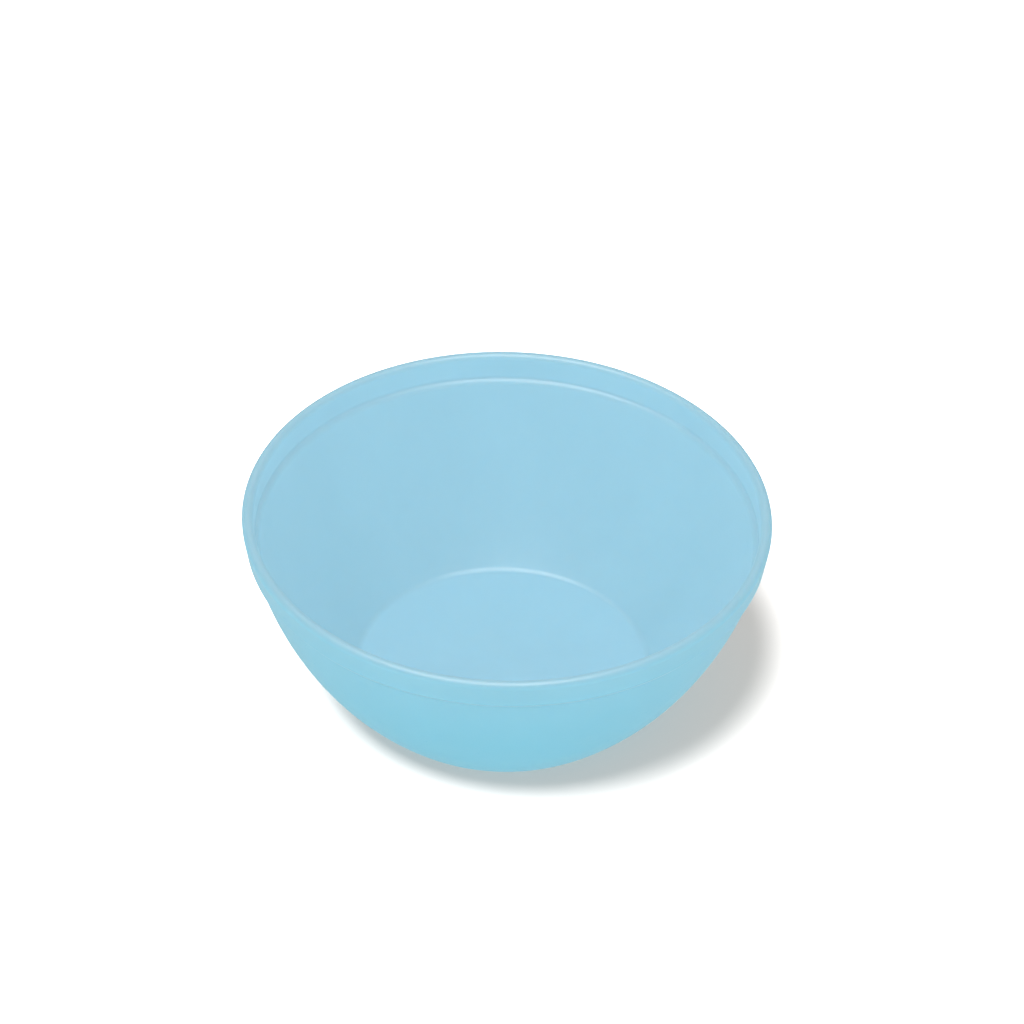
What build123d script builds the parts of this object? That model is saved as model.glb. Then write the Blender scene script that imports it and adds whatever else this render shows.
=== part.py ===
from build123d import *
import os

# A round solution bowl for a ward trolley, moulded in one piece from polypropylene.
# Millimetres, +Z up, origin at the centre of the foot, on the surface the bowl stands on.
# It is a body of revolution: a rounded lip, a shallow collar that steps inwards at a ledge,
# and a wall that curves ever faster inwards to a flat floor on a low foot ring.

# Driving dimensions
rim_radius = 75.0
height = 59.5
wall = 2.65
floor_thickness = 1.8

# Lip and collar: the lip is a full round bead, thicker than the wall, and the collar
# leans out towards it
lip_thickness = 3.4
lip_round = 1.6
collar_depth = 8.0
collar_lean = 1.1

# Step below the collar: an inner ledge, and outside it a shoulder a little lower
shoulder_depth = 9.6
shoulder_radius = 72.5
ledge_depth = 8.6
ledge_fall = 0.85
ledge_root_radius = 71.5

# Curved wall: one arc outside and one inside it, about the same centre
wall_bulge = 4.05

# Foot: a low ring around a slightly raised underside
foot_radius = 43.9
foot_ring_width = 2.4
foot_recess = 0.35

# Gate mark: a shallow dimple in the underside with the stub of the moulding gate in it
gate_dimple_radius = 3.0
gate_dimple_depth = 0.4
gate_stub_radius = 0.7
gate_stub_length = 0.3

# Corner rounds
shoulder_round = 1.0
shoulder_root_round = 1.5
ledge_round = 2.2
ledge_root_round = 1.0
floor_round = 3.0
foot_outer_round = 0.8
foot_inner_round = 0.15


def arc_centre(start, end, bulge):
    """Centre and radius of the arc from start to end that stands bulge off its chord."""
    chord = Vector(*end) - Vector(*start)
    radius = (chord.length**2 / 4 + bulge**2) / (2 * bulge)
    inwards = Vector(-chord.Y, chord.X).normalized()
    centre = Vector(*start) + chord / 2 + inwards * (radius - bulge)
    return centre, radius


def radius_at(centre, radius, z):
    """Distance from the bowl's axis to the arc at height z."""
    return centre.X + (radius**2 - (z - centre.Y) ** 2) ** 0.5


# The wall's two arcs, and where the inner one meets the ledge and the floor
foot_edge = (foot_radius, 0)
shoulder_root = (shoulder_radius, height - shoulder_depth)
wall_centre, outer_arc_radius = arc_centre(foot_edge, shoulder_root, wall_bulge)
inner_arc_radius = outer_arc_radius - wall

floor_top = foot_recess + floor_thickness
ledge_top = height - ledge_depth
floor_edge = (radius_at(wall_centre, inner_arc_radius, floor_top), floor_top)
ledge_edge = (radius_at(wall_centre, inner_arc_radius, ledge_top), ledge_top)
ledge_root = (ledge_root_radius, ledge_top + ledge_fall)

# Corners of the collar and lip. The collar's line runs on past the lip's widest point to the
# sharp corner that the lip round cuts off, so the rounded lip reaches out to rim_radius.
lip_overrun = collar_lean * lip_round / collar_depth
collar_foot = (rim_radius - collar_lean, height - collar_depth)
lip_outer = (rim_radius + lip_overrun, height)
lip_inner = (rim_radius - lip_thickness, height)

# Inner corners of the foot ring
foot_inner = (foot_radius - foot_ring_width, 0)
recess_edge = (foot_radius - foot_ring_width, foot_recess)

# Every corner of the section that is rounded, with its radius
rounded_corners = [
    (foot_inner, foot_inner_round),
    (foot_edge, foot_outer_round),
    (shoulder_root, shoulder_root_round),
    (collar_foot, shoulder_round),
    (lip_outer, lip_round),
    (lip_inner, lip_round),
    (ledge_root, ledge_root_round),
    (ledge_edge, ledge_round),
    (floor_edge, floor_round),
]

with BuildPart() as bowl:
    with BuildSketch(Plane.XZ) as section:
        with BuildLine():
            Polyline((0, foot_recess), recess_edge, foot_inner, foot_edge)
            RadiusArc(foot_edge, shoulder_root, -outer_arc_radius)
            Polyline(shoulder_root, collar_foot, lip_outer, lip_inner, ledge_root, ledge_edge)
            RadiusArc(ledge_edge, floor_edge, inner_arc_radius)
            Polyline(floor_edge, (0, floor_top), (0, foot_recess))
        make_face()
        for corner, radius in rounded_corners:
            fillet(section.vertices().sort_by_distance(corner)[0], radius)
    revolve(axis=Axis.Z)

    # Gate mark in the middle of the underside
    with BuildSketch(Plane.XY.offset(foot_recess)):
        Circle(gate_dimple_radius)
    extrude(amount=gate_dimple_depth, mode=Mode.SUBTRACT)
    with BuildSketch(Plane.XY.offset(foot_recess + gate_dimple_depth)):
        Circle(gate_stub_radius)
    extrude(amount=-gate_stub_length)

bowl.part.label = "bowl"

os.makedirs("parts", exist_ok=True)
export_step(bowl.part, "parts/bowl.step")

box = bowl.part.bounding_box()
print(f"bowl {box.size.X:.1f} x {box.size.Y:.1f} x {box.size.Z:.1f} mm")
print(f"wall arcs: outer {outer_arc_radius:.1f}, inner {inner_arc_radius:.1f} mm")
print(f"inner radius at the ledge {ledge_edge[0]:.1f}, at the floor {floor_edge[0]:.1f} mm")
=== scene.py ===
import bpy
import bmesh
from math import atan2, cos, hypot, pi, radians, sin, tan
from mathutils import Matrix, Vector


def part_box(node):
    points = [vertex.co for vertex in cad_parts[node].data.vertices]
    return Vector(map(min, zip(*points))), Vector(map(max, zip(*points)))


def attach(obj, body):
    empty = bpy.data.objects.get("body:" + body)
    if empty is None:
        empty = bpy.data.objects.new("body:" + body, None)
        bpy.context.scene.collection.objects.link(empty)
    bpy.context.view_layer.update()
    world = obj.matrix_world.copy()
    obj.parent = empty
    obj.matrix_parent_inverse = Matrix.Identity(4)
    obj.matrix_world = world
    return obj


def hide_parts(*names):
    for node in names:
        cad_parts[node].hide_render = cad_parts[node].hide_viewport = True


# A round solution bowl, moulded in one piece from pale blue polypropylene.
# Metres, +Z up, in the CAD frame: the bowl stands on z = 0 with its axis on the origin.

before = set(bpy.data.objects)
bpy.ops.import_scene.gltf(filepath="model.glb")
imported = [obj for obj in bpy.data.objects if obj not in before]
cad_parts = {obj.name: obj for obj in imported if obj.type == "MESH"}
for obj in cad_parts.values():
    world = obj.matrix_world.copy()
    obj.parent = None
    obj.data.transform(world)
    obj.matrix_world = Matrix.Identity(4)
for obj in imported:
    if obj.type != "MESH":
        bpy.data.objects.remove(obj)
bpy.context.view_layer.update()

MM = 0.001

# Overall size, from the CAD node
low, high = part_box("bowl")
HEIGHT = high[2] - low[2]
RIM_RADIUS = 75.0 * MM

# Section of the bowl, as radii and as depths below the lip
WALL = 2.65 * MM
LIP_THICKNESS = 3.4 * MM
COLLAR_DEPTH = 8.0 * MM
COLLAR_LEAN = 1.1 * MM
SHOULDER_DEPTH = 9.6 * MM
SHOULDER_RADIUS = 72.5 * MM
LEDGE_DEPTH = 8.6 * MM
LEDGE_FALL = 0.85 * MM
LEDGE_ROOT_RADIUS = 71.5 * MM
WALL_BULGE = 4.05 * MM

# Foot and floor, as heights above the foot
FOOT_RADIUS = 43.9 * MM
FOOT_RING_WIDTH = 2.4 * MM
FOOT_RECESS = 0.35 * MM
FLOOR_TOP = 2.15 * MM
GATE_DIMPLE_RADIUS = 3.0 * MM
GATE_DIMPLE_TOP = 0.75 * MM
GATE_STUB_RADIUS = 0.7 * MM
GATE_STUB_END = 0.45 * MM

# Radii of the rounded corners
FOOT_INNER_ROUND = 0.15 * MM
FOOT_OUTER_ROUND = 0.8 * MM
SHOULDER_ROOT_ROUND = 1.5 * MM
SHOULDER_ROUND = 1.0 * MM
LIP_ROUND = 1.6 * MM
LEDGE_ROOT_ROUND = 1.0 * MM
LEDGE_ROUND = 2.2 * MM
FLOOR_ROUND = 3.0 * MM

# Mesh density
TURNS = 192
WALL_STEPS = 26
ROUND_STEPS = 7

# Colours of the plastic, with light painted into them: deepest low on the outside, as painted
# shade, and paler inside and up towards the lip, as a painted sheen
SHADED_TONE = (0.115, 0.445, 0.573)
SHEEN_TONE = (0.26, 0.45, 0.535)
PAINTED_LIGHT_LAYER = "painted_light"
# How much painted sheen reaches the outside at the collar, and how fast it gives way to
# painted shade towards the foot
COLLAR_SHEEN = 0.68
SHADE_FALLOFF = 1.2

# Faint streaks where the melt flowed out from the gate, and clouds. Waves are per metre.
TONE_SWING = 0.03
FLOW_CORE = 6.0 * MM
FLOW_STRETCH = 6.0
FLOW_WAVES = 5.0
CLOUD_WAVES = 45.0

# Gloss, grain and scuffs of the surface
REFRACTIVE_INDEX = 1.49
SPECULAR_LEVEL = 0.35
ROUGHNESS = 0.36
ROUGHNESS_SWING = 0.08
PATCH_WAVES = 90.0
GRAIN_WAVES = 2600.0
GRAIN_ROUGHNESS = 0.6
GRAIN_DEPTH = 0.006 * MM
SCUFF_STRETCH = (1.0, 0.06, 1.0)
SCUFF_TURN = (0.0, 0.0, 0.6)
SCUFF_WAVES = 1500.0
SCUFF_LEVEL = 0.68
SCUFF_SOFTNESS = 0.02

# Light that goes into the plastic and comes out again nearby
SCATTER_SHARE = 0.4
SCATTER_SPREAD = (1.0, 1.6, 1.9)
SCATTER_DEPTH = 2.0 * MM

# White table
TABLE_HALF = 6.0
TABLE_TONE = (0.5, 0.5, 0.5)
TABLE_ROUGHNESS = 0.9

# Camera: a long lens, at the height and distance that the rim's ellipse gives
CAMERA_ELEVATION = 39.31
CAMERA_DISTANCE = 18.82 * RIM_RADIUS
CAMERA_PITCH = -39.32
CAMERA_YAW = -0.07
CAMERA_ROLL = -1.6
LENS_MM = 175.8
SENSOR_MM = 36.0
NEAR_CLIP = 0.1
FAR_CLIP = 30.0

# Light: the room, then the lamps on the table, then the lamps on the bowl
ROOM_LIGHT = 0.57
NARROW_SPREAD = 1.0
KEY_DIRECTION = (-0.24, -0.27, 1)
KEY_LIGHT = 13.0
KEY_SPREAD = 30.0
TABLE_FILL = 2.0
TABLE_FILL_COLOUR = (1.0, 0.82, 0.70)
FAN_LAMPS = 8
FAN_LIFT = 25.0
FAN_LIGHT = 0.73
FRONT_BIAS = 0.24
LEFT_BIAS = 0.08
BOUNCE_LIFT = -45.0
BOUNCE_LIGHT = 0.42
OVERHEAD_PLACE = (-0.1, -0.12, 1.2)
OVERHEAD_WIDTH = 1.1
OVERHEAD_LIGHT = 26.0


def arc_centre(start, end, bulge):
    """Centre and radius of the arc from start to end that stands bulge off its chord."""
    chord = Vector(end) - Vector(start)
    radius = (chord.length_squared / 4 + bulge**2) / (2 * bulge)
    inwards = Vector((-chord.y, chord.x)).normalized()
    return Vector(start) + chord / 2 + inwards * (radius - bulge), radius


def arc_reach(centre, radius, z):
    """How far out from its centre the arc is at a height."""
    return (radius**2 - (z - centre.y) ** 2) ** 0.5


def arc_points(centre, radius, z_start, z_end):
    """Points of a wall arc between two heights, both ends left out, as unrounded corners."""
    start = atan2(z_start - centre.y, arc_reach(centre, radius, z_start))
    end = atan2(z_end - centre.y, arc_reach(centre, radius, z_end))
    angles = [start + (end - start) * step / WALL_STEPS for step in range(1, WALL_STEPS)]
    return [(centre.x + radius * cos(a), centre.y + radius * sin(a), 0) for a in angles]


def rounded(before, corner, after, radius):
    """Points of the round that replaces a corner between its two neighbours."""
    corner = Vector(corner)
    u = (Vector(before) - corner).normalized()
    v = (Vector(after) - corner).normalized()
    opening = u.angle(v)
    reach = radius / tan(opening / 2)
    centre = corner + (u + v).normalized() * radius / sin(opening / 2)
    first = corner + u * reach - centre
    last = corner + v * reach - centre
    shares = [step / ROUND_STEPS for step in range(ROUND_STEPS + 1)]
    return [centre + first.slerp(last, share).normalized() * radius for share in shares]


def section():
    """The bowl's section as (radius, height) points, from the gate stub round to the floor."""
    foot_edge = (FOOT_RADIUS, 0)
    shoulder_root = (SHOULDER_RADIUS, HEIGHT - SHOULDER_DEPTH)
    centre, outer = arc_centre(foot_edge, shoulder_root, WALL_BULGE)
    inner = outer - WALL
    ledge_top = HEIGHT - LEDGE_DEPTH
    ledge_edge = centre.x + arc_reach(centre, inner, ledge_top)
    floor_edge = centre.x + arc_reach(centre, inner, FLOOR_TOP)
    ring_inside = FOOT_RADIUS - FOOT_RING_WIDTH

    # Each corner as its radius, its height and the radius of its round
    corners = [
        (GATE_STUB_RADIUS, GATE_STUB_END, 0),
        (GATE_STUB_RADIUS, GATE_DIMPLE_TOP, 0),
        (GATE_DIMPLE_RADIUS, GATE_DIMPLE_TOP, 0),
        (GATE_DIMPLE_RADIUS, FOOT_RECESS, 0),
        (ring_inside, FOOT_RECESS, 0),
        (ring_inside, 0, FOOT_INNER_ROUND),
        (*foot_edge, FOOT_OUTER_ROUND),
        *arc_points(centre, outer, 0, shoulder_root[1]),
        (*shoulder_root, SHOULDER_ROOT_ROUND),
        (RIM_RADIUS - COLLAR_LEAN, HEIGHT - COLLAR_DEPTH, SHOULDER_ROUND),
        (RIM_RADIUS + COLLAR_LEAN * LIP_ROUND / COLLAR_DEPTH, HEIGHT, LIP_ROUND),
        (RIM_RADIUS - LIP_THICKNESS, HEIGHT, LIP_ROUND),
        (LEDGE_ROOT_RADIUS, ledge_top + LEDGE_FALL, LEDGE_ROOT_ROUND),
        (ledge_edge, ledge_top, LEDGE_ROUND),
        *arc_points(centre, inner, ledge_top, FLOOR_TOP),
        (floor_edge, FLOOR_TOP, FLOOR_ROUND),
        (0, FLOOR_TOP, 0),
    ]
    points = [Vector(corners[0][:2])]
    for before, corner, after in zip(corners, corners[1:], corners[2:]):
        if corner[2]:
            points += rounded(before[:2], corner[:2], after[:2], corner[2])
        else:
            points.append(Vector(corner[:2]))
    return points


def corner_angle(u, v):
    """Angle of a square grid's point once the square is drawn out to a circle."""
    if abs(u) >= abs(v):
        turn = 0 if u > 0 else pi
        return (turn + pi / 4 * (v / u if u else 0)) % (2 * pi)
    turn = pi / 2 if v > 0 else 3 * pi / 2
    return (turn - pi / 4 * u / v) % (2 * pi)


def disc(mesh, ring, z):
    """Fills a ring with a grid of quads, so that no fan of thin faces meets at its centre,
    and gives back all the disc's vertices."""
    side = len(ring) // 4
    radius = hypot(ring[0].co.x, ring[0].co.y)
    grid = {}
    for i in range(side + 1):
        for j in range(side + 1):
            u, v = 2 * i / side - 1, 2 * j / side - 1
            reach = max(abs(u), abs(v))
            angle = corner_angle(u, v)
            if reach == 1:
                grid[i, j] = ring[round(angle / (2 * pi) * len(ring)) % len(ring)]
            else:
                spot = (radius * reach * cos(angle), radius * reach * sin(angle), z)
                grid[i, j] = mesh.verts.new(spot)
    for i in range(side):
        for j in range(side):
            mesh.faces.new([grid[i, j], grid[i + 1, j], grid[i + 1, j + 1], grid[i, j + 1]])
    return grid.values()


def painted_light_at(point, inside):
    """How much painted sheen the plastic gets: full inside, and less and less down the
    outside, which leaves painted shade towards the foot.
    """
    if inside:
        return 1.0
    outer_sheen = COLLAR_SHEEN * (max(0.0, point.y) / HEIGHT) ** SHADE_FALLOFF
    over_lip = min(1.0, max(0.0, 1 - (HEIGHT - point.y) / LIP_ROUND))
    return outer_sheen + (1 - outer_sheen) * over_lip**2


def bowl_mesh():
    """The bowl as one closed skin of quads: the section turned about Z, with gridded discs."""
    mesh = bmesh.new()
    # Each vertex keeps its share of the painted sheen; less of it, down the outside, is
    # painted shade
    painted_light = mesh.verts.layers.float.new(PAINTED_LIGHT_LAYER)
    points = section()
    lip_top = max(range(len(points)), key=lambda index: points[index].y)
    angles = [2 * pi * turn / TURNS for turn in range(TURNS)]
    rings = []
    for index, point in enumerate(points):
        ring = [mesh.verts.new((point.x * cos(a), point.x * sin(a), point.y)) for a in angles]
        for vertex in ring:
            vertex[painted_light] = painted_light_at(point, index > lip_top)
        rings.append(ring)
    for below, above in zip(rings, rings[1:]):
        for i in range(TURNS):
            j = (i + 1) % TURNS
            mesh.faces.new([below[i], below[j], above[j], above[i]])
    disc(mesh, rings[0], GATE_STUB_END)
    # The inside floor gets the full painted sheen
    for vertex in disc(mesh, rings[-1], FLOOR_TOP):
        vertex[painted_light] = 1.0
    bmesh.ops.recalc_face_normals(mesh, faces=mesh.faces)
    for face in mesh.faces:
        face.smooth = True
    data = bpy.data.meshes.new("bowl_skin")
    mesh.to_mesh(data)
    mesh.free()
    return data


def node(tree, kind, **settings):
    """A shader node with its properties and its inputs' values set by name."""
    made = tree.nodes.new(kind)
    for name, value in settings.items():
        if hasattr(made, name):
            setattr(made, name, value)
        else:
            made.inputs[name.replace("_", " ")].default_value = value
    return made


def maths(tree, operation, *values):
    """A maths node, each of whose inputs is a number or another node's output."""
    made = tree.nodes.new("ShaderNodeMath")
    made.operation = operation
    for slot, value in zip(made.inputs, values):
        if isinstance(value, bpy.types.NodeSocket):
            tree.links.new(value, slot)
        else:
            slot.default_value = value
    return made.outputs["Value"]


def noise(tree, place, scale, detail=2.0, roughness=0.5):
    """Noise of so many waves per metre, around 0.5."""
    made = node(tree, "ShaderNodeTexNoise", Scale=scale, Detail=detail, Roughness=roughness)
    tree.links.new(place, made.inputs["Vector"])
    return made.outputs["Fac"]


def flow_place(tree, place):
    """Coordinates that follow the melt: round the bowl, out from the gate, and up."""
    parts = tree.nodes.new("ShaderNodeSeparateXYZ")
    tree.links.new(place, parts.inputs["Vector"])
    x, y, z = parts.outputs
    square = maths(tree, "MULTIPLY_ADD", x, x, maths(tree, "MULTIPLY", y, y))
    out = maths(tree, "SQRT", square)
    soft = maths(tree, "ADD", out, FLOW_CORE)
    joined = tree.nodes.new("ShaderNodeCombineXYZ")
    tree.links.new(maths(tree, "DIVIDE", x, soft), joined.inputs["X"])
    tree.links.new(maths(tree, "DIVIDE", y, soft), joined.inputs["Y"])
    travel = maths(tree, "MULTIPLY", maths(tree, "ADD", out, z), FLOW_STRETCH)
    tree.links.new(travel, joined.inputs["Z"])
    return joined.outputs["Vector"]


def plastic_tone(tree, place):
    """Pigment with faint flow streaks and clouds, and light painted in: deeper down the
    outside as painted shade, paler inside as a painted sheen.
    """
    painted_light = node(tree, "ShaderNodeAttribute", attribute_name=PAINTED_LIGHT_LAYER)
    tone = node(tree, "ShaderNodeMix", data_type="RGBA")
    tone.inputs["A"].default_value = (*SHADED_TONE, 1)
    tone.inputs["B"].default_value = (*SHEEN_TONE, 1)
    tree.links.new(painted_light.outputs["Fac"], tone.inputs["Factor"])
    streaks = noise(tree, flow_place(tree, place), FLOW_WAVES, detail=3.0)
    clouds = noise(tree, place, CLOUD_WAVES)
    uneven = maths(tree, "ADD", streaks, clouds)
    value = maths(tree, "MULTIPLY_ADD", uneven, TONE_SWING, 1 - TONE_SWING)
    shaded = node(tree, "ShaderNodeHueSaturation")
    tree.links.new(tone.outputs["Result"], shaded.inputs["Color"])
    tree.links.new(value, shaded.inputs["Value"])
    return shaded.outputs["Color"]


def satin(tree, place, shader):
    """Roughness that wanders, and the grain and hairline scuffs of a moulded surface."""
    patches = noise(tree, place, PATCH_WAVES)
    smoothest = ROUGHNESS - ROUGHNESS_SWING / 2
    rough = maths(tree, "MULTIPLY_ADD", patches, ROUGHNESS_SWING, smoothest)
    stretched = node(tree, "ShaderNodeMapping", Scale=SCUFF_STRETCH, Rotation=SCUFF_TURN)
    tree.links.new(place, stretched.inputs["Vector"])
    lines = noise(tree, stretched.outputs["Vector"], SCUFF_WAVES, detail=1.0)
    above = maths(tree, "SUBTRACT", lines, SCUFF_LEVEL)
    scuffs = maths(tree, "SMOOTH_MAX", above, 0.0, SCUFF_SOFTNESS)
    tree.links.new(maths(tree, "ADD", rough, scuffs), shader.inputs["Roughness"])
    grain = noise(tree, place, GRAIN_WAVES, detail=3.0, roughness=GRAIN_ROUGHNESS)
    height = maths(tree, "SUBTRACT", grain, scuffs)
    bump = node(tree, "ShaderNodeBump", Distance=GRAIN_DEPTH, Strength=1.0)
    tree.links.new(height, bump.inputs["Height"])
    tree.links.new(bump.outputs["Normal"], shader.inputs["Normal"])


def polypropylene():
    """Pale sky-blue moulded polypropylene: satin, and lit a little from within."""
    material = bpy.data.materials.new("blue_polypropylene")
    material.use_nodes = True
    tree = material.node_tree
    shader = tree.nodes["Principled BSDF"]
    shader.inputs["IOR"].default_value = REFRACTIVE_INDEX
    shader.inputs["Specular IOR Level"].default_value = SPECULAR_LEVEL
    shader.inputs["Subsurface Weight"].default_value = SCATTER_SHARE
    shader.inputs["Subsurface Radius"].default_value = SCATTER_SPREAD
    shader.inputs["Subsurface Scale"].default_value = SCATTER_DEPTH
    place = tree.nodes.new("ShaderNodeTexCoord").outputs["Object"]
    tree.links.new(plastic_tone(tree, place), shader.inputs["Base Color"])
    satin(tree, place, shader)
    return material


def build_bowl():
    """The bowl in its plastic, in place of the CAD bowl."""
    bowl = bpy.data.objects.new("bowl_moulding", bowl_mesh())
    bpy.context.scene.collection.objects.link(bowl)
    bowl.data.materials.append(polypropylene())
    even = bowl.modifiers.new("even_normals", "WEIGHTED_NORMAL")
    even.keep_sharp = False
    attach(bowl, "root")
    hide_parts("bowl")
    return bowl


def build_floor():
    """A plain white table, 12 m across, that throws no light up at the bowl."""
    data = bpy.data.meshes.new("table")
    sides = [(-1, -1), (1, -1), (1, 1), (-1, 1)]
    corners = [(x * TABLE_HALF, y * TABLE_HALF, 0) for x, y in sides]
    data.from_pydata(corners, [], [(0, 1, 2, 3)])
    table = bpy.data.objects.new("table", data)
    bpy.context.scene.collection.objects.link(table)
    material = bpy.data.materials.new("white_table")
    material.use_nodes = True
    shader = material.node_tree.nodes["Principled BSDF"]
    shader.inputs["Base Color"].default_value = (*TABLE_TONE, 1)
    shader.inputs["Roughness"].default_value = TABLE_ROUGHNESS
    shader.inputs["Specular IOR Level"].default_value = 0.0
    data.materials.append(material)
    table.visible_diffuse = False
    table.visible_glossy = False
    return table


def light_only(lamp, lit):
    """Lets a lamp light one object and nothing else."""
    group = bpy.data.collections.new(lamp.name + "_lights")
    group.objects.link(lit)
    lamp.light_linking.receiver_collection = group


def sun(name, direction, energy, spread, lit):
    """A distant lamp that shines from a direction, as soft as its spread in degrees."""
    data = bpy.data.lights.new(name, "SUN")
    data.energy = energy
    data.angle = radians(spread)
    lamp = bpy.data.objects.new(name, data)
    lamp.rotation_euler = Vector(direction).to_track_quat("Z", "Y").to_euler()
    bpy.context.scene.collection.objects.link(lamp)
    light_only(lamp, lit)
    return lamp


def softbox(name, place, width, energy, lit):
    """A round softbox that faces the bowl."""
    data = bpy.data.lights.new(name, "AREA")
    data.shape = "DISK"
    data.size = width
    data.energy = energy
    lamp = bpy.data.objects.new(name, data)
    lamp.location = place
    lamp.rotation_euler = Vector(place).to_track_quat("Z", "Y").to_euler()
    bpy.context.scene.collection.objects.link(lamp)
    light_only(lamp, lit)
    return lamp


def lamp_fan(lift, light, front_bias, left_bias, lit):
    """Lamps in a circle round the bowl, all at one height, that cast no shadow or glint."""
    lift = radians(lift)
    for index in range(FAN_LAMPS):
        turn = 2 * pi * index / FAN_LAMPS
        direction = (-sin(turn) * cos(lift), -cos(turn) * cos(lift), sin(lift))
        share = 1 + front_bias * cos(turn) + left_bias * sin(turn)
        lamp = sun("fan", direction, light * share, NARROW_SPREAD, lit)
        lamp.data.use_shadow = False
        lamp.visible_glossy = False


def build_light(bowl, table):
    """A white room, a wide key and a fill on the table, and fans of lamps and a softbox,
    which only glints, on the bowl."""
    world = bpy.data.worlds.new("studio")
    world.use_nodes = True
    background = world.node_tree.nodes["Background"]
    background.inputs["Color"].default_value = (1, 1, 1, 1)
    background.inputs["Strength"].default_value = ROOM_LIGHT
    bpy.context.scene.world = world
    sun("key", KEY_DIRECTION, KEY_LIGHT, KEY_SPREAD, table)
    fill = sun("table_fill", (0, 0, 1), TABLE_FILL, NARROW_SPREAD, table)
    fill.data.color = TABLE_FILL_COLOUR
    fill.data.use_shadow = False
    lamp_fan(FAN_LIFT, FAN_LIGHT, FRONT_BIAS, LEFT_BIAS, bowl)
    lamp_fan(BOUNCE_LIFT, BOUNCE_LIGHT, 0, 0, bowl)
    overhead = softbox("overhead", OVERHEAD_PLACE, OVERHEAD_WIDTH, OVERHEAD_LIGHT, bowl)
    overhead.visible_diffuse = False


def build_camera():
    """A long lens, looking down at the bowl from the front."""
    data = bpy.data.cameras.new("camera")
    data.lens = LENS_MM
    data.sensor_width = SENSOR_MM
    data.clip_start = NEAR_CLIP
    data.clip_end = FAR_CLIP
    camera = bpy.data.objects.new("camera", data)
    lift = radians(CAMERA_ELEVATION)
    turn = Matrix.Rotation(radians(CAMERA_YAW), 3, "Z")
    nod = Matrix.Rotation(radians(90 + CAMERA_PITCH), 3, "X")
    lean = Matrix.Rotation(radians(-CAMERA_ROLL), 3, "Z")
    rim_centre = Vector((0, 0, HEIGHT))
    place = rim_centre + Vector((0, -cos(lift), sin(lift))) * CAMERA_DISTANCE
    camera.matrix_world = Matrix.Translation(place) @ (turn @ nod @ lean).to_4x4()
    bpy.context.scene.collection.objects.link(camera)
    bpy.context.scene.camera = camera


bowl = build_bowl()
table = build_floor()
build_light(bowl, table)
build_camera()
bpy.context.scene.view_settings.view_transform = "Standard"
